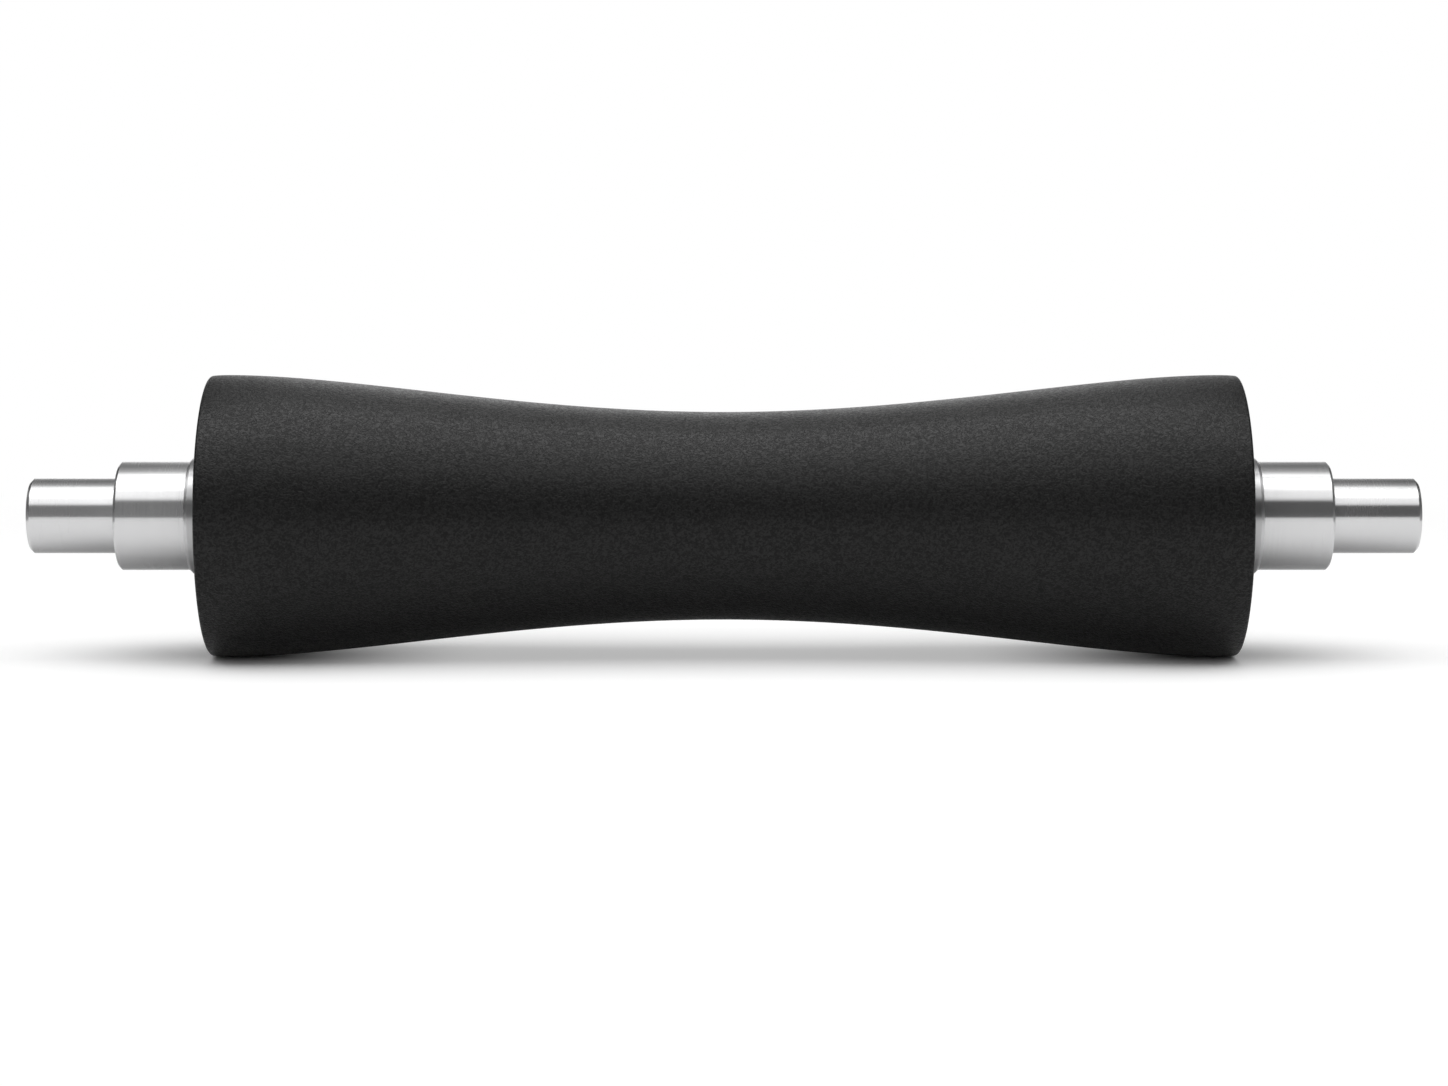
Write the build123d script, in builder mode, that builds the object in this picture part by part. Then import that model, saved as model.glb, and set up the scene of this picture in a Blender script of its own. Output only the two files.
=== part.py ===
from build123d import *
import os
from math import asin, degrees

# Concave roller: a steel shaft turned in one piece, with a rubber cover moulded and bonded onto it.
# Sizes are in millimetres. The roller turns about X, Z is up, and the origin is its centre.

os.makedirs("parts", exist_ok=True)

# Shaft, from the middle outwards
core_diameter = 31.0  # runs the whole way under the rubber, and shows as a collar at each end
collar_length = 5.6  # how far the bare core stands out of the rubber
collar_chamfer = 0.85
shoulder_diameter = 29.0  # its end face is what a bearing's inner ring seats against
shoulder_length = 18.8
shoulder_chamfer = 0.7
journal_diameter = 20.0  # bearing seat
journal_length = 23.8
journal_chamfer = 0.9
journal_root_radius = 0.5

# Centre hole in each shaft end, which the lathe and the grinder hold the shaft by
centre_hole_diameter = 2.5
centre_hole_mouth_diameter = 5.3
centre_hole_depth = 6.0
centre_hole_angle = 60.0

# Rubber cover
cover_length = 273.6
waist_diameter = 55.5  # thinnest, at mid length
crest_diameter = 75.2  # thickest, just inside each end
crest_inset = 4.7  # from the crest to the end of the cover
waist_reach = 53.5  # how far the curve holds the waist's direction: longer is a flatter waist
crest_reach = 33.0  # the same at the crest
end_crown_radius = 45.0  # gentle fall from the crest to the end of the cover
rim_radius = 0.8  # rounded edge of each end

# Places along the axis, from the centre
cover_end = cover_length / 2
crest_place = cover_end - crest_inset
collar_end = cover_end + collar_length
shoulder_end = collar_end + shoulder_length
journal_end = shoulder_end + journal_length

# Two places or radii that differ by less than this are the same
same = 0.01


def circles(part, place, diameter):
    """The round edges of one diameter, at one distance from the middle on both sides."""
    return part.edges().filter_by(
        lambda edge: edge.geom_type == GeomType.CIRCLE
        and abs(abs(edge.arc_center.X) - place) < same
        and abs(edge.radius - diameter / 2) < same
    )


# Shaft: half of its section turned about the axis, then mirrored
with BuildPart() as shaft:
    with BuildSketch(Plane.XZ) as shaft_section:
        with BuildLine() as shaft_outline:
            Polyline(
                (0, 0),
                (0, core_diameter / 2),
                (collar_end, core_diameter / 2),
                (collar_end, shoulder_diameter / 2),
                (shoulder_end, shoulder_diameter / 2),
                (shoulder_end, journal_diameter / 2),
                (journal_end, journal_diameter / 2),
                (journal_end, 0),
                close=True,
            )
        make_face()
    revolve(axis=Axis.X)
    mirror(about=Plane.YZ)

    # Edges broken by the turning tool, and the fillet that it leaves at the journal's root
    chamfer(circles(shaft, collar_end, core_diameter), collar_chamfer)
    chamfer(circles(shaft, shoulder_end, shoulder_diameter), shoulder_chamfer)
    chamfer(circles(shaft, journal_end, journal_diameter), journal_chamfer)
    fillet(circles(shaft, shoulder_end, journal_diameter), journal_root_radius)

    for side in (-1, 1):
        with Locations(Plane(origin=(side * journal_end, 0, 0), z_dir=(side, 0, 0))):
            CounterSinkHole(
                radius=centre_hole_diameter / 2,
                counter_sink_radius=centre_hole_mouth_diameter / 2,
                depth=centre_hole_depth,
                counter_sink_angle=centre_hole_angle,
            )

shaft.part.label = "shaft"
export_step(shaft.part, "parts/shaft.step")

# Rubber cover: its bore is the shaft's core, and its outside is one smooth curve from the waist,
# where it runs level, to the crest, where it runs level again, and then the crown down to the end
crown_angle = degrees(asin(crest_inset / end_crown_radius))

with BuildPart() as rubber_cover:
    with BuildSketch(Plane.XZ) as cover_section:
        with BuildLine() as cover_outline:
            flank = Bezier(
                (0, waist_diameter / 2),
                (waist_reach, waist_diameter / 2),
                (crest_place - crest_reach, crest_diameter / 2),
                (crest_place, crest_diameter / 2),
            )
            crown = JernArc(start=flank @ 1, tangent=flank % 1, radius=end_crown_radius, arc_size=-crown_angle)
            Polyline(
                crown @ 1,
                (cover_end, core_diameter / 2),
                (0, core_diameter / 2),
                flank @ 0,
            )
        make_face()
    revolve(axis=Axis.X)
    mirror(about=Plane.YZ)

    rim_diameter = 2 * (crown @ 1).Y
    fillet(circles(rubber_cover, cover_end, rim_diameter), rim_radius)

rubber_cover.part.label = "rubber_cover"
export_step(rubber_cover.part, "parts/rubber_cover.step")
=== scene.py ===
import math

import bmesh
import bpy
from mathutils import Matrix, Vector
from mathutils.geometry import interpolate_bezier


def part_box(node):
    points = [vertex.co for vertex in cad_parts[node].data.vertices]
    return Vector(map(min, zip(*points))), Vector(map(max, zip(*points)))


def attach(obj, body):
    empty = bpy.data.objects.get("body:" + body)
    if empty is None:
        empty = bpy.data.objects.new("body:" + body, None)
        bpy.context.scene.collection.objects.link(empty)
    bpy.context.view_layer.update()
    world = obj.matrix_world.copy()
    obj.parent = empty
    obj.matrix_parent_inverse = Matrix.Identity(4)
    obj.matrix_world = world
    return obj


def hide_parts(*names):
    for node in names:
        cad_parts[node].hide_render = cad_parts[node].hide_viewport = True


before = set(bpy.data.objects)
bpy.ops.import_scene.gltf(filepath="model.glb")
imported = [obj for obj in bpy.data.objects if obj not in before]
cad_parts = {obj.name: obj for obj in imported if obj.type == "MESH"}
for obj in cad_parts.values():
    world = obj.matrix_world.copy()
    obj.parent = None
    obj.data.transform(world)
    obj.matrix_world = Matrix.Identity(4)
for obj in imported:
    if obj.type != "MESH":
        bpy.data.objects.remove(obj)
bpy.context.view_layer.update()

# lengths are metres, the roller's axis is X, Z is up and the origin is the roller's middle
scene = bpy.context.scene
shaftLow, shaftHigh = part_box("shaft")
coverLow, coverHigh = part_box("rubber_cover")
floorHeight = coverLow[2]


# helpers for meshes of revolution

def mirroredProfile(half):
    # half runs outwards from the middle as (x, radius); the other half comes first
    return [(-x, radius) for x, radius in reversed(half)] + list(half)


def turnProfile(profile, steps, closed):
    # the outline's edges are spun once round X, and its doubles are merged
    mesh = bmesh.new()
    corners = [mesh.verts.new((x, 0.0, radius)) for x, radius in profile]
    for start, end in zip(corners, corners[1:]):
        mesh.edges.new((start, end))
    if closed:
        mesh.edges.new((corners[-1], corners[0]))
    bmesh.ops.spin(mesh, geom=mesh.verts[:] + mesh.edges[:], cent=(0, 0, 0), axis=(1, 0, 0), dvec=(0, 0, 0),
                   angle=math.tau, steps=steps, use_merge=True, use_normal_flip=False, use_duplicate=False)
    bmesh.ops.remove_doubles(mesh, verts=mesh.verts[:], dist=1e-6)
    bmesh.ops.recalc_face_normals(mesh, faces=mesh.faces[:])
    return mesh


def ringEdges(mesh, place, radius):
    # the edges of the rings at one distance from the middle, on both sides
    tolerance = 2e-5

    def onRing(corner):
        return (abs(abs(corner.co.x) - place) < tolerance
                and abs(math.hypot(corner.co.y, corner.co.z) - radius) < tolerance)

    def sameSide(edge):
        return edge.verts[0].co.x * edge.verts[1].co.x > 0.0

    return [edge for edge in mesh.edges if sameSide(edge) and onRing(edge.verts[0]) and onRing(edge.verts[1])]


def bevelRings(mesh, place, radius, offset, segments):
    bmesh.ops.bevel(mesh, geom=ringEdges(mesh, place, radius), offset=offset, offset_type="OFFSET",
                    segments=segments, profile=0.5, affect="EDGES", clamp_overlap=True, material=-1)


def breakEdges(mesh, angle, offset):
    # the small break that every machined corner has, where two faces meet by more than the angle
    sharp = [edge for edge in mesh.edges if len(edge.link_faces) == 2 and edge.calc_face_angle(0.0) > angle]
    bmesh.ops.bevel(mesh, geom=sharp, offset=offset, offset_type="OFFSET", segments=2, profile=0.5,
                    affect="EDGES", clamp_overlap=True, material=-1)


def finishPiece(mesh, name, material):
    for face in mesh.faces:
        face.smooth = True
    data = bpy.data.meshes.new(name)
    mesh.to_mesh(data)
    mesh.free()
    data.materials.append(material)
    piece = bpy.data.objects.new(name, data)
    scene.collection.objects.link(piece)
    flatten = piece.modifiers.new("evenShading", "WEIGHTED_NORMAL")
    flatten.keep_sharp = True
    print(name, len(data.polygons), "faces")
    return piece


# helpers for materials

def addNode(tree, kind, **settings):
    made = tree.nodes.new(kind)
    for name, value in settings.items():
        setattr(made, name, value)
    return made


def setInputs(made, **values):
    for name, value in values.items():
        made.inputs[name].default_value = value
    return made


def mathNode(tree, operation, first, second=None, third=None):
    # a socket is linked, and a number is written in
    made = addNode(tree, "ShaderNodeMath", operation=operation)
    for index, value in enumerate((first, second, third)):
        if value is None:
            continue
        if isinstance(value, (int, float)):
            made.inputs[index].default_value = value
        else:
            tree.links.new(value, made.inputs[index])
    return made.outputs[0]


def mapRange(tree, value, fromLow, fromHigh, toLow, toHigh, smooth=False):
    made = addNode(tree, "ShaderNodeMapRange")
    made.interpolation_type = "SMOOTHSTEP" if smooth else "LINEAR"
    tree.links.new(value, made.inputs["Value"])
    for name, number in (("From Min", fromLow), ("From Max", fromHigh), ("To Min", toLow), ("To Max", toHigh)):
        made.inputs[name].default_value = number
    return made.outputs["Result"]


def newGroup(name, inputs, outputs):
    group = bpy.data.node_groups.new(name, "ShaderNodeTree")
    for label, kind, value in inputs:
        socket = group.interface.new_socket(name=label, in_out="INPUT", socket_type=kind)
        if value is not None:
            socket.default_value = value
    for label, kind in outputs:
        group.interface.new_socket(name=label, in_out="OUTPUT", socket_type=kind)
    return group, addNode(group, "NodeGroupInput"), addNode(group, "NodeGroupOutput")


def placeGroup(tree, group, **values):
    made = addNode(tree, "ShaderNodeGroup", node_tree=group)
    for name, value in values.items():
        made.inputs[name].default_value = value
    return made


def newMaterial(name):
    material = bpy.data.materials.new(name)
    material.use_nodes = True
    tree = material.node_tree
    tree.nodes.clear()
    shader = addNode(tree, "ShaderNodeBsdfPrincipled")
    output = addNode(tree, "ShaderNodeOutputMaterial")
    tree.links.new(shader.outputs["BSDF"], output.inputs["Surface"])
    return material, tree, shader


# ring pattern: what a turning tool or a grinding wheel leaves round the X axis, on any face of a turned piece

def makeRingGroup():
    group, given, result = newGroup(
        "turnedRings",
        [("Rings", "NodeSocketFloat", 4000.0), ("Wander", "NodeSocketFloat", 0.2)],
        [("Height", "NodeSocketFloat"), ("Radius", "NodeSocketFloat")],
    )
    coords = addNode(group, "ShaderNodeTexCoord")
    parts = addNode(group, "ShaderNodeSeparateXYZ")
    group.links.new(coords.outputs["Object"], parts.inputs[0])
    acrossSquare = mathNode(group, "MULTIPLY", parts.outputs["Y"], parts.outputs["Y"])
    upSquare = mathNode(group, "MULTIPLY", parts.outputs["Z"], parts.outputs["Z"])
    radius = mathNode(group, "SQRT", mathNode(group, "ADD", acrossSquare, upSquare))
    safeRadius = mathNode(group, "MAXIMUM", radius, 1e-4)
    turnAcross = mathNode(group, "MULTIPLY", mathNode(group, "DIVIDE", parts.outputs["Y"], safeRadius),
                          given.outputs["Wander"])
    turnUp = mathNode(group, "MULTIPLY", mathNode(group, "DIVIDE", parts.outputs["Z"], safeRadius),
                      given.outputs["Wander"])
    along = mathNode(group, "MULTIPLY_ADD", parts.outputs["X"], given.outputs["Rings"], turnAcross)
    outwards = mathNode(group, "MULTIPLY_ADD", radius, given.outputs["Rings"], turnUp)
    place = addNode(group, "ShaderNodeCombineXYZ")
    group.links.new(along, place.inputs["X"])
    group.links.new(outwards, place.inputs["Y"])
    noise = setInputs(addNode(group, "ShaderNodeTexNoise"), Scale=1.0, Detail=3.0, Roughness=0.6)
    group.links.new(place.outputs[0], noise.inputs["Vector"])
    group.links.new(noise.outputs["Fac"], result.inputs["Height"])
    group.links.new(radius, result.inputs["Radius"])
    return group


# soft uneven patches, for the slow changes that every real surface has

def makePatchGroup():
    group, given, result = newGroup(
        "softPatches",
        [("Size", "NodeSocketFloat", 0.03)],
        [("Patch", "NodeSocketFloat")],
    )
    coords = addNode(group, "ShaderNodeTexCoord")
    scale = mathNode(group, "DIVIDE", 1.0, given.outputs["Size"])
    noise = setInputs(addNode(group, "ShaderNodeTexNoise"), Detail=2.0, Roughness=0.5)
    group.links.new(coords.outputs["Object"], noise.inputs["Vector"])
    group.links.new(scale, noise.inputs["Scale"])
    group.links.new(noise.outputs["Fac"], result.inputs["Patch"])
    return group


# leathery grain of the moulded rubber: fine wrinkles, a little longer along the roller than round it

def makeGrainGroup():
    group, given, result = newGroup(
        "leatheryGrain",
        [("Wrinkle", "NodeSocketFloat", 0.0010)],
        [("Height", "NodeSocketFloat"), ("Pits", "NodeSocketFloat")],
    )
    coords = addNode(group, "ShaderNodeTexCoord")
    stretch = addNode(group, "ShaderNodeVectorMath", operation="MULTIPLY")
    stretch.inputs[1].default_value = (0.80, 1.0, 1.0)
    group.links.new(coords.outputs["Object"], stretch.inputs[0])
    scale = mathNode(group, "DIVIDE", 1.0, given.outputs["Wrinkle"])
    wrinkles = setInputs(addNode(group, "ShaderNodeTexNoise"), Detail=0.6, Roughness=0.5, Distortion=0.9)
    group.links.new(stretch.outputs[0], wrinkles.inputs["Vector"])
    group.links.new(scale, wrinkles.inputs["Scale"])
    # folded about its middle, so that the wrinkles have narrow creases between them
    fold = mathNode(group, "ABSOLUTE", mathNode(group, "SUBTRACT", wrinkles.outputs["Fac"], 0.5))
    creases = mapRange(group, fold, 0.0, 0.20, 0.0, 1.0)
    lumps = setInputs(addNode(group, "ShaderNodeTexNoise"), Detail=1.0, Roughness=0.5, Distortion=1.0)
    group.links.new(stretch.outputs[0], lumps.inputs["Vector"])
    group.links.new(mathNode(group, "MULTIPLY", scale, 1.2), lumps.inputs["Scale"])
    height = mathNode(group, "MULTIPLY_ADD", creases, 0.45, lumps.outputs["Fac"])
    group.links.new(height, result.inputs["Height"])
    group.links.new(mapRange(group, height, 0.55, 0.85, 1.0, 0.0), result.inputs["Pits"])
    return group


ringGroup = makeRingGroup()
patchGroup = makePatchGroup()
grainGroup = makeGrainGroup()

# ground steel

steelLook = {
    "colour": (0.70, 0.70, 0.705, 1.0),
    "groundRoughness": 0.25,  # journals and shoulders
    "turnedRoughness": 0.38,  # collar beside the rubber
    "brushed": 1.0,  # grinding lines blur a reflection across them, and hardly at all along them
    "brushedTurn": 0.25,  # a quarter turn, from along the lines to across them
    "fineRings": 5000.0,  # rings per metre on the ground faces
    "coarseRings": 2200.0,  # and on the turned ones
    "groundDepth": 0.0000004,
    "turnedDepth": 0.000003,
    "groundBelow": 0.01475,  # faces inside this radius are ground
}


def makeSteel(look):
    material, tree, shader = newMaterial("groundSteel")
    setInputs(shader, Metallic=1.0, Anisotropic=look["brushed"])
    shader.inputs["Anisotropic Rotation"].default_value = look["brushedTurn"]
    # the grinding lines run round the axis
    coords = addNode(tree, "ShaderNodeTexCoord")
    parts = addNode(tree, "ShaderNodeSeparateXYZ")
    tree.links.new(coords.outputs["Object"], parts.inputs[0])
    around = addNode(tree, "ShaderNodeCombineXYZ")
    tree.links.new(mathNode(tree, "MULTIPLY", parts.outputs["Z"], -1.0), around.inputs["Y"])
    tree.links.new(parts.outputs["Y"], around.inputs["Z"])
    along = addNode(tree, "ShaderNodeVectorMath", operation="NORMALIZE")
    tree.links.new(around.outputs[0], along.inputs[0])
    tree.links.new(along.outputs[0], shader.inputs["Tangent"])
    fineRings = placeGroup(tree, ringGroup, Rings=look["fineRings"], Wander=0.4)
    coarseRings = placeGroup(tree, ringGroup, Rings=look["coarseRings"], Wander=0.15)
    patches = placeGroup(tree, patchGroup, Size=0.02)
    turned = mapRange(tree, fineRings.outputs["Radius"], look["groundBelow"] - 0.0001,
                      look["groundBelow"] + 0.0001, 0.0, 1.0)
    # colour drifts a little with the patches
    tint = addNode(tree, "ShaderNodeMix", data_type="RGBA")
    tint.inputs["A"].default_value = [channel * 0.94 for channel in look["colour"][:3]] + [1.0]
    tint.inputs["B"].default_value = look["colour"]
    tree.links.new(patches.outputs["Patch"], tint.inputs["Factor"])
    tree.links.new(tint.outputs["Result"], shader.inputs["Base Color"])
    # roughness follows the finish, the patches and the rings
    base = mapRange(tree, turned, 0.0, 1.0, look["groundRoughness"], look["turnedRoughness"])
    drift = mapRange(tree, patches.outputs["Patch"], 0.3, 0.7, -0.02, 0.02)
    streak = mapRange(tree, fineRings.outputs["Height"], 0.3, 0.7, -0.03, 0.03)
    tree.links.new(mathNode(tree, "ADD", mathNode(tree, "ADD", base, drift), streak), shader.inputs["Roughness"])
    # rings stand out more on the turned faces
    fineHeight = mathNode(tree, "MULTIPLY", fineRings.outputs["Height"], look["groundDepth"])
    coarseHeight = mathNode(tree, "MULTIPLY", coarseRings.outputs["Height"], look["turnedDepth"])
    height = mathNode(tree, "MULTIPLY_ADD", coarseHeight, turned, fineHeight)
    bump = setInputs(addNode(tree, "ShaderNodeBump"), Strength=1.0, Distance=1.0)
    tree.links.new(height, bump.inputs["Height"])
    tree.links.new(bump.outputs["Normal"], shader.inputs["Normal"])
    return material


# satin black rubber

rubberLook = {
    "pitShade": (0.0002, 0.0002, 0.0002, 1.0),  # painted shade, darker in the pits of the grain
    "high": (0.0034, 0.0034, 0.0033, 1.0),  # on top of the wrinkles
    "roughness": 0.32,
    "specular": 0.15,
    "skinRoughness": 0.30,  # the smooth skin that moulding leaves, thin in the pits
    "skinOnTop": 0.34,
    "skinInPits": 0.12,
    "sheen": 0.08,
    "sheenRoughness": 0.40,
    "wrinkle": 0.0008,
    "grainDepth": 0.00020,
}


def makeRubber(look):
    material, tree, shader = newMaterial("blackRubber")
    setInputs(shader, Metallic=0.0)
    shader.inputs["Specular IOR Level"].default_value = look["specular"]
    shader.inputs["Sheen Weight"].default_value = look["sheen"]
    shader.inputs["Sheen Roughness"].default_value = look["sheenRoughness"]
    grain = placeGroup(tree, grainGroup, Wrinkle=look["wrinkle"])
    patches = placeGroup(tree, patchGroup, Size=0.025)
    # painted shade: the base colour is darker in the pits of the grain
    tint = addNode(tree, "ShaderNodeMix", data_type="RGBA")
    tint.inputs["A"].default_value = look["high"]
    tint.inputs["B"].default_value = look["pitShade"]
    tree.links.new(grain.outputs["Pits"], tint.inputs["Factor"])
    tree.links.new(tint.outputs["Result"], shader.inputs["Base Color"])
    rough = mapRange(tree, grain.outputs["Pits"], 0.0, 1.0, look["roughness"], look["roughness"] + 0.12)
    drift = mapRange(tree, patches.outputs["Patch"], 0.3, 0.7, -0.03, 0.03)
    tree.links.new(mathNode(tree, "ADD", rough, drift), shader.inputs["Roughness"])
    shader.inputs["Coat Roughness"].default_value = look["skinRoughness"]
    skin = mapRange(tree, grain.outputs["Pits"], 0.0, 1.0, look["skinOnTop"], look["skinInPits"])
    tree.links.new(skin, shader.inputs["Coat Weight"])
    bump = setInputs(addNode(tree, "ShaderNodeBump"), Strength=1.0, Distance=1.0)
    tree.links.new(mathNode(tree, "MULTIPLY", grain.outputs["Height"], look["grainDepth"]), bump.inputs["Height"])
    tree.links.new(bump.outputs["Normal"], shader.inputs["Normal"])
    return material


steel = makeSteel(steelLook)
rubber = makeRubber(rubberLook)
print("materials made")

# rubber cover

coverShape = {
    "end": coverHigh[0],
    "crestRadius": coverHigh[2],
    "waistRadius": 0.02775,
    "boreRadius": shaftHigh[2],
    "crestInset": 0.0047,
    "waistReach": 0.0535,
    "crestReach": 0.0330,
    "crownRadius": 0.045,
    "rimRadius": 0.0008,
    "flankPoints": 70,
    "crownPoints": 5,
    "rimSegments": 6,
    "turnSteps": 288,
}


def makeCover(shape):
    crest = shape["end"] - shape["crestInset"]
    flank = interpolate_bezier(
        Vector((0.0, shape["waistRadius"], 0.0)),
        Vector((shape["waistReach"], shape["waistRadius"], 0.0)),
        Vector((crest - shape["crestReach"], shape["crestRadius"], 0.0)),
        Vector((crest, shape["crestRadius"], 0.0)),
        shape["flankPoints"],
    )
    fall = math.asin(shape["crestInset"] / shape["crownRadius"])
    crown = []
    for step in range(1, shape["crownPoints"] + 1):
        angle = fall * step / shape["crownPoints"]
        drop = shape["crownRadius"] * (1.0 - math.cos(angle))
        crown.append((crest + shape["crownRadius"] * math.sin(angle), shape["crestRadius"] - drop))
    outside = [(point.x, point.y) for point in flank[1:]] + crown
    rimRadius = crown[-1][1]
    half = outside + [(shape["end"], shape["boreRadius"])]
    profile = mirroredProfile(half)
    profile.insert(len(half), (0.0, shape["waistRadius"]))
    mesh = turnProfile(profile, shape["turnSteps"], closed=True)
    # the rim turns from the crown's slope to the flat end
    turn = math.pi / 2 - fall
    bevelRings(mesh, shape["end"], rimRadius, shape["rimRadius"] * math.tan(turn / 2), shape["rimSegments"])
    return finishPiece(mesh, "rubberCover", rubber)


# one-piece shaft

shaftShape = {
    "coreRadius": shaftHigh[2],
    "collarEnd": coverHigh[0] + 0.0056,
    "collarChamfer": 0.00085,
    "shoulderRadius": 0.0145,
    "shoulderEnd": coverHigh[0] + 0.0056 + 0.0188,
    "shoulderChamfer": 0.0007,
    "journalRadius": 0.010,
    "journalEnd": shaftHigh[0],
    "journalChamfer": 0.0009,
    "rootRadius": 0.0005,
    "holeMouthRadius": 0.00265,
    "holeRadius": 0.00125,
    "holeDepth": 0.006,
    "holeAngle": math.radians(60.0),
    "edgeBreak": 0.00006,
    "turnSteps": 256,
}


def makeShaft(shape):
    coneDepth = (shape["holeMouthRadius"] - shape["holeRadius"]) / math.tan(shape["holeAngle"] / 2)
    half = [
        (shape["collarEnd"], shape["coreRadius"]),
        (shape["collarEnd"], shape["shoulderRadius"]),
        (shape["shoulderEnd"], shape["shoulderRadius"]),
        (shape["shoulderEnd"], shape["journalRadius"]),
        (shape["journalEnd"], shape["journalRadius"]),
        (shape["journalEnd"], shape["holeMouthRadius"]),
        (shape["journalEnd"] - coneDepth, shape["holeRadius"]),
        (shape["journalEnd"] - shape["holeDepth"], shape["holeRadius"]),
        (shape["journalEnd"] - shape["holeDepth"], 0.0),
    ]
    mesh = turnProfile(mirroredProfile(half), shape["turnSteps"], closed=False)
    bevelRings(mesh, shape["collarEnd"], shape["coreRadius"], shape["collarChamfer"], 1)
    bevelRings(mesh, shape["shoulderEnd"], shape["shoulderRadius"], shape["shoulderChamfer"], 1)
    bevelRings(mesh, shape["journalEnd"], shape["journalRadius"], shape["journalChamfer"], 1)
    bevelRings(mesh, shape["shoulderEnd"], shape["journalRadius"], shape["rootRadius"], 5)
    breakEdges(mesh, math.radians(30.0), shape["edgeBreak"])
    return finishPiece(mesh, "turnedShaft", steel)


coverPiece = makeCover(coverShape)
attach(coverPiece, "root")
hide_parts("rubber_cover")

shaftPiece = makeShaft(shaftShape)
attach(shaftPiece, "root")
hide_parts("shaft")
print("pieces made")

# floor, lamp and surroundings

stageLook = {
    "floorSize": 12.0,
    "floorColour": 0.97,
    "seenColour": 1.10,  # the floor as the camera sees it, so that its lit part is white
    "floorGlow": 0.42,  # painted light: how much of the floor glows plain white to the camera, lifting its shadow as a lit table would
    "glowFrom": 0.008,  # there is no glow this near to where the roller touches the floor
    "glowTo": 0.070,  # and all of it from here on
    "plainFrom": 0.30,  # from here outwards the floor turns plain white
    "plainTo": 0.60,
    "underShade": 0.50,  # painted shadow: how dark the floor looks in reflections, right behind the shaft
    "roomLight": 0.35,  # even light from all around
}

# one lamp overhead gives the light, and the cards below give the reflections
lamp = {
    "height": 1.0,
    "front": -0.85,
    "back": 0.55,
    "length": 2.4,
    "radiance": 1.45,
}

# cards that only reflections see, as bands swept round the roller: each has angles in degrees, from the front
# floor line up and over to the back, and how bright it is there; middle is how much more there is over the rubber
cardLength = 6.0
cards = {
    "frontCard": {
        "radius": 1.60,
        "glow": [(1.0, 1.0), (36.0, 1.0)],
        "leftGain": 0.44,
        "rightGain": 0.12,
        "turnover": 0.25,
        "middle": 0.35,
    },
    "topCard": {
        "radius": 1.15,
        "glow": [(36.0, 0.40), (38.0, 0.80), (40.0, 1.20), (42.5, 1.46), (46.0, 1.64), (58.0, 1.68), (66.0, 2.30),
                 (75.0, 3.60), (88.0, 3.60), (93.0, 2.20), (96.0, 1.50)],
        "leftGain": 1.0,
        "rightGain": 0.78,
        "turnover": 0.50,
        "middle": 0.87,
    },
    "backCard": {
        "radius": 1.15,
        "glow": [(96.0, 1.50), (100.0, 1.15), (105.0, 0.80), (109.0, 0.54), (113.0, 0.38), (120.0, 0.28),
                 (128.0, 0.20), (138.0, 0.16), (150.0, 0.24), (166.0, 0.45)],
        "leftGain": 0.66,
        "rightGain": 0.53,
        "turnover": 0.50,
        "middle": 6.0,
    },
}


# upright cards past the two ends of the shaft, dim at the foot and dark above
endCards = {
    "place": 0.45,
    "halfWidth": 0.65,
    "height": 0.40,
    "foot": 0.42,
    "above": 0.07,
    "fadeFrom": -0.03,
    "fadeTo": 0.08,
}


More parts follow.
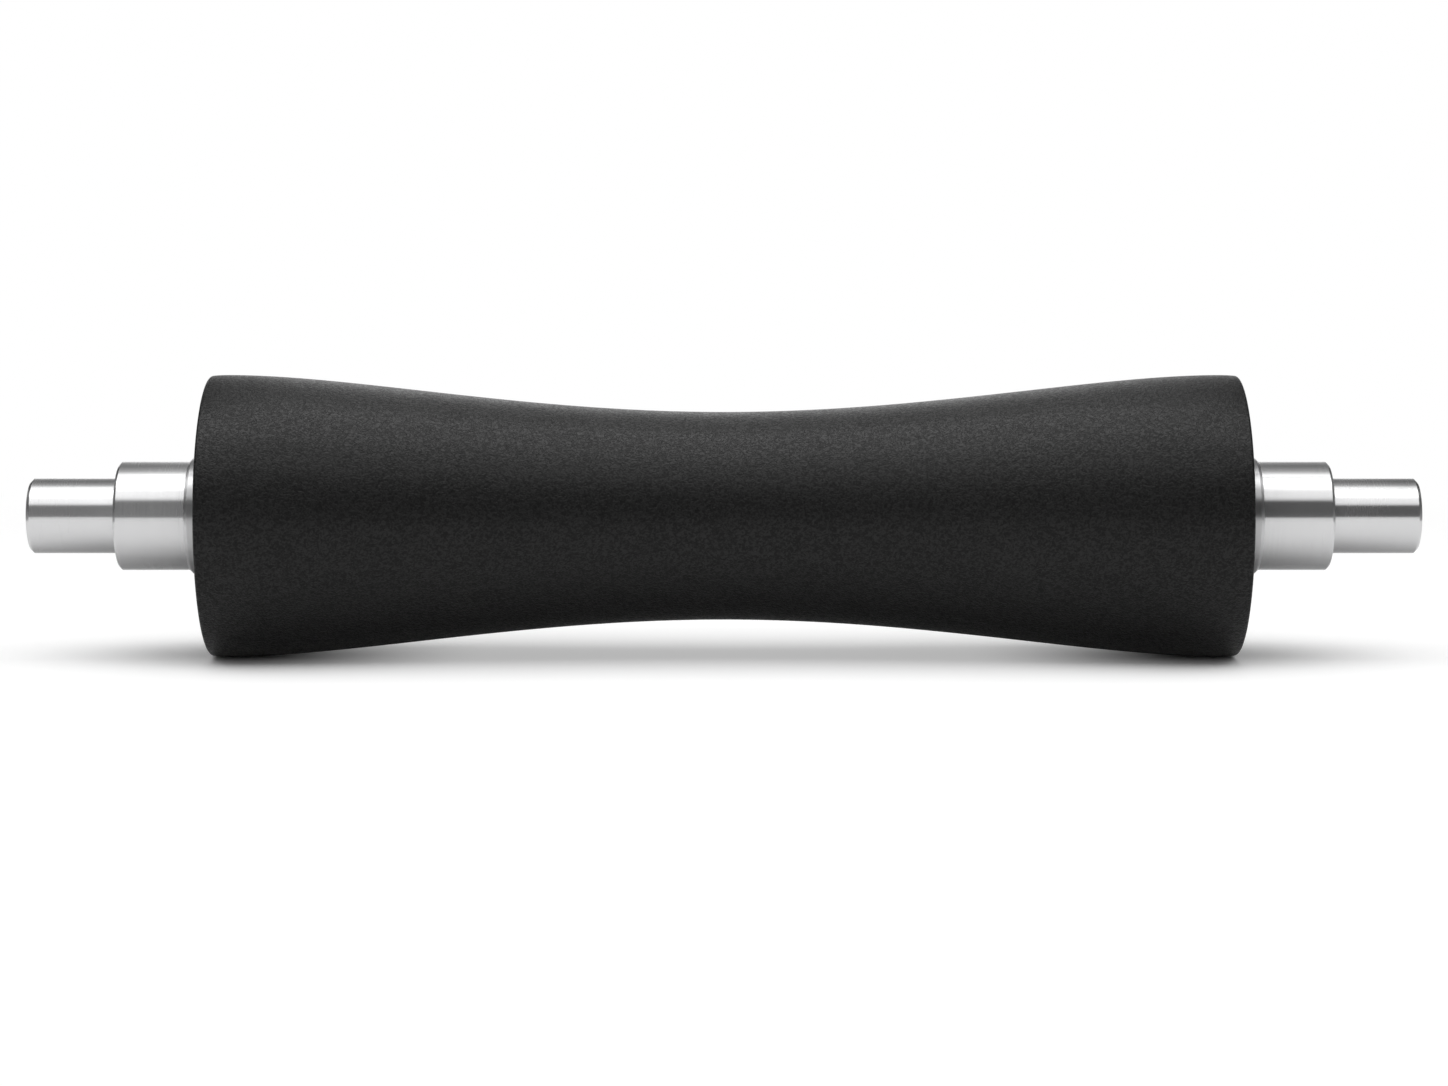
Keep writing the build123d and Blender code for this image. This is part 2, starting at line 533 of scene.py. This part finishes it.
def makeFloor(look):
    mesh = bmesh.new()
    bmesh.ops.create_grid(mesh, x_segments=1, y_segments=1, size=look["floorSize"] / 2,
                          matrix=Matrix.Translation((0.0, 0.0, floorHeight)))
    data = bpy.data.meshes.new("floor")
    mesh.to_mesh(data)
    mesh.free()
    floor = bpy.data.objects.new("floor", data)
    scene.collection.objects.link(floor)
    material = bpy.data.materials.new("paleFloor")
    material.use_nodes = True
    tree = material.node_tree
    tree.nodes.clear()
    lit = addNode(tree, "ShaderNodeBsdfDiffuse")
    plain = addNode(tree, "ShaderNodeEmission")
    path = addNode(tree, "ShaderNodeLightPath")
    coords = addNode(tree, "ShaderNodeTexCoord")
    parts = addNode(tree, "ShaderNodeSeparateXYZ")
    tree.links.new(coords.outputs["Object"], parts.inputs[0])
    # painted shadow under the roller, seen only in reflections, which begins further forward under the thick
    # cover than under the shaft
    aside = mathNode(tree, "ABSOLUTE", parts.outputs["X"])
    forward = mapRange(tree, aside, 0.12, 0.15, 0.024, 0.0)
    inwards = mathNode(tree, "ADD", parts.outputs["Y"], forward)
    into = mapRange(tree, inwards, -0.018, 0.026, 0.0, 1.0, smooth=True)
    outOf = mapRange(tree, parts.outputs["Y"], 0.050, 0.120, 1.0, 0.0, smooth=True)
    beside = mapRange(tree, aside, 0.19, 0.23, 1.0, 0.0, smooth=True)
    under = mathNode(tree, "MULTIPLY", mathNode(tree, "MULTIPLY", into, outOf), beside)
    # painted shadow: the floor's colour is darker here for glossy rays only
    inReflection = mathNode(tree, "MULTIPLY", under, path.outputs["Is Glossy Ray"])
    shade = mapRange(tree, path.outputs["Is Camera Ray"], 0.0, 1.0, look["floorColour"], look["seenColour"])
    darker = mapRange(tree, inReflection, 0.0, 1.0, 1.0, look["underShade"])
    tree.links.new(mathNode(tree, "MULTIPLY", shade, darker), lit.inputs["Color"])
    # distance from the nearer of the two places where the roller touches the floor
    touch = coverHigh[0] - 0.0047
    across = mathNode(tree, "SUBTRACT", mathNode(tree, "ABSOLUTE", parts.outputs["X"]), touch)
    reach = mathNode(tree, "SQRT", mathNode(tree, "ADD", mathNode(tree, "POWER", across, 2.0),
                                            mathNode(tree, "POWER", parts.outputs["Y"], 2.0)))
    # painted light: a white glow that lifts the floor's shadow for the camera, none at the touch
    glow = mapRange(tree, reach, look["glowFrom"], look["glowTo"], 0.0, look["floorGlow"], smooth=True)
    # plain white further out
    away = addNode(tree, "ShaderNodeVectorMath", operation="LENGTH")
    tree.links.new(coords.outputs["Object"], away.inputs[0])
    far = mapRange(tree, away.outputs["Value"], look["plainFrom"], look["plainTo"], 0.0, 1.0, smooth=True)
    seen = mathNode(tree, "MAXIMUM", path.outputs["Is Camera Ray"], path.outputs["Is Glossy Ray"])
    seen = mathNode(tree, "MAXIMUM", seen, path.outputs["Is Transmission Ray"])
    share = mathNode(tree, "MAXIMUM", mathNode(tree, "MULTIPLY", glow, path.outputs["Is Camera Ray"]),
                     mathNode(tree, "MULTIPLY", far, seen))
    mix = addNode(tree, "ShaderNodeMixShader")
    tree.links.new(share, mix.inputs["Fac"])
    tree.links.new(lit.outputs[0], mix.inputs[1])
    tree.links.new(plain.outputs[0], mix.inputs[2])
    output = addNode(tree, "ShaderNodeOutputMaterial")
    tree.links.new(mix.outputs[0], output.inputs["Surface"])
    data.materials.append(material)


def makeLamp(look):
    width = look["back"] - look["front"]
    data = bpy.data.lights.new("overheadLamp", "AREA")
    data.shape = "RECTANGLE"
    data.size = look["length"]
    data.size_y = width
    data.energy = look["radiance"] * math.pi * look["length"] * width
    made = bpy.data.objects.new("overheadLamp", data)
    made.location = (0.0, (look["front"] + look["back"]) / 2, look["height"])
    made.visible_glossy = False
    scene.collection.objects.link(made)


def makeCard(name, card):
    # a strip swept round the roller's axis
    first = math.radians(card["glow"][0][0])
    last = math.radians(card["glow"][-1][0])
    mesh = bmesh.new()
    ends = [mesh.verts.new((side * cardLength / 2, -card["radius"] * math.cos(first),
                            card["radius"] * math.sin(first))) for side in (-1, 1)]
    edge = mesh.edges.new(ends)
    bmesh.ops.spin(mesh, geom=ends + [edge], cent=(0, 0, 0), axis=(1, 0, 0), dvec=(0, 0, 0),
                   angle=first - last, steps=24, use_merge=False, use_normal_flip=False, use_duplicate=False)
    data = bpy.data.meshes.new(name)
    mesh.to_mesh(data)
    mesh.free()
    made = bpy.data.objects.new(name, data)
    scene.collection.objects.link(made)
    for flag in ("visible_camera", "visible_diffuse", "visible_shadow", "visible_transmission"):
        setattr(made, flag, False)
    material = bpy.data.materials.new(name)
    material.use_nodes = True
    tree = material.node_tree
    tree.nodes.clear()
    coords = addNode(tree, "ShaderNodeTexCoord")
    parts = addNode(tree, "ShaderNodeSeparateXYZ")
    tree.links.new(coords.outputs["Object"], parts.inputs[0])
    front = mathNode(tree, "MULTIPLY", parts.outputs["Y"], -1.0)
    angle = mathNode(tree, "ARCTAN2", parts.outputs["Z"], front)
    ramp = addNode(tree, "ShaderNodeValToRGB")
    tree.links.new(mapRange(tree, angle, first, last, 0.0, 1.0), ramp.inputs["Fac"])
    stops = ramp.color_ramp.elements
    while len(stops) < len(card["glow"]):
        stops.new(1.0)
    for stop, (place, glow) in zip(stops, card["glow"]):
        stop.position = (math.radians(place) - first) / (last - first)
        stop.color = (glow, glow, glow, 1.0)
    gain = mapRange(tree, parts.outputs["X"], -card["turnover"], card["turnover"], card["leftGain"],
                    card["rightGain"], smooth=True)
    aside = mathNode(tree, "ABSOLUTE", parts.outputs["X"])
    middle = mapRange(tree, aside, 0.13, 0.36, card["middle"], 1.0, smooth=True)
    gain = mathNode(tree, "MULTIPLY", gain, middle)
    glowing = addNode(tree, "ShaderNodeEmission")
    tree.links.new(ramp.outputs["Color"], glowing.inputs["Color"])
    tree.links.new(gain, glowing.inputs["Strength"])
    output = addNode(tree, "ShaderNodeOutputMaterial")
    tree.links.new(glowing.outputs[0], output.inputs["Surface"])
    data.materials.append(material)


def makeEndCard(name, side, look):
    mesh = bmesh.new()
    bmesh.ops.create_grid(mesh, x_segments=1, y_segments=1, size=1.0)
    bmesh.ops.scale(mesh, vec=(look["height"] / 2, look["halfWidth"], 1.0), verts=mesh.verts[:])
    bmesh.ops.rotate(mesh, cent=(0, 0, 0), matrix=Matrix.Rotation(math.pi / 2, 3, "Y"), verts=mesh.verts[:])
    bmesh.ops.translate(mesh, vec=(side * look["place"], 0.0, floorHeight + look["height"] / 2 + 0.001),
                        verts=mesh.verts[:])
    data = bpy.data.meshes.new(name)
    mesh.to_mesh(data)
    mesh.free()
    made = bpy.data.objects.new(name, data)
    scene.collection.objects.link(made)
    for flag in ("visible_camera", "visible_diffuse", "visible_shadow", "visible_transmission"):
        setattr(made, flag, False)
    material = bpy.data.materials.new(name)
    material.use_nodes = True
    tree = material.node_tree
    tree.nodes.clear()
    coords = addNode(tree, "ShaderNodeTexCoord")
    parts = addNode(tree, "ShaderNodeSeparateXYZ")
    tree.links.new(coords.outputs["Object"], parts.inputs[0])
    glowing = addNode(tree, "ShaderNodeEmission")
    glow = mapRange(tree, parts.outputs["Z"], look["fadeFrom"], look["fadeTo"], look["foot"], look["above"])
    tree.links.new(glow, glowing.inputs["Strength"])
    output = addNode(tree, "ShaderNodeOutputMaterial")
    tree.links.new(glowing.outputs[0], output.inputs["Surface"])
    data.materials.append(material)


def makeRoom(look):
    world = bpy.data.worlds.new("studio")
    world.use_nodes = True
    scene.world = world
    tree = world.node_tree
    tree.nodes.clear()
    white = (1.0, 1.0, 1.0, 1.0)
    path = addNode(tree, "ShaderNodeLightPath")
    seen = mathNode(tree, "MAXIMUM", path.outputs["Is Camera Ray"], path.outputs["Is Glossy Ray"])
    seen = mathNode(tree, "MAXIMUM", seen, path.outputs["Is Transmission Ray"])
    room = addNode(tree, "ShaderNodeBackground")
    room.inputs["Color"].default_value = white
    room.inputs["Strength"].default_value = look["roomLight"]
    backdrop = addNode(tree, "ShaderNodeBackground")
    backdrop.inputs["Color"].default_value = white
    mix = addNode(tree, "ShaderNodeMixShader")
    tree.links.new(seen, mix.inputs["Fac"])
    tree.links.new(room.outputs[0], mix.inputs[1])
    tree.links.new(backdrop.outputs[0], mix.inputs[2])
    output = addNode(tree, "ShaderNodeOutputWorld")
    tree.links.new(mix.outputs[0], output.inputs["Surface"])


makeFloor(stageLook)
makeLamp(lamp)
for cardName, card in cards.items():
    makeCard(cardName, card)
makeEndCard("leftEndCard", -1, endCards)
makeEndCard("rightEndCard", 1, endCards)
makeRoom(stageLook)
print("stage made")

# camera, at the photograph's angle

cameraView = {
    "elevation": math.radians(5.0),
    "distance": 0.9653,
    "aimBelow": math.radians(0.4317),  # the axis lies a little above the middle of the picture
    "lens": 89.75,
    "sensor": 36.0,
}


def makeCamera(view):
    data = bpy.data.cameras.new("camera")
    data.sensor_width = view["sensor"]
    data.lens = view["lens"]
    data.clip_start = 0.01
    data.clip_end = 50.0
    made = bpy.data.objects.new("camera", data)
    made.location = (0.0, -view["distance"] * math.cos(view["elevation"]), view["distance"] * math.sin(view["elevation"]))
    made.rotation_euler = (math.pi / 2 - view["elevation"] - view["aimBelow"], 0.0, 0.0)
    scene.collection.objects.link(made)
    scene.camera = made


makeCamera(cameraView)
scene.view_settings.view_transform = "Standard"
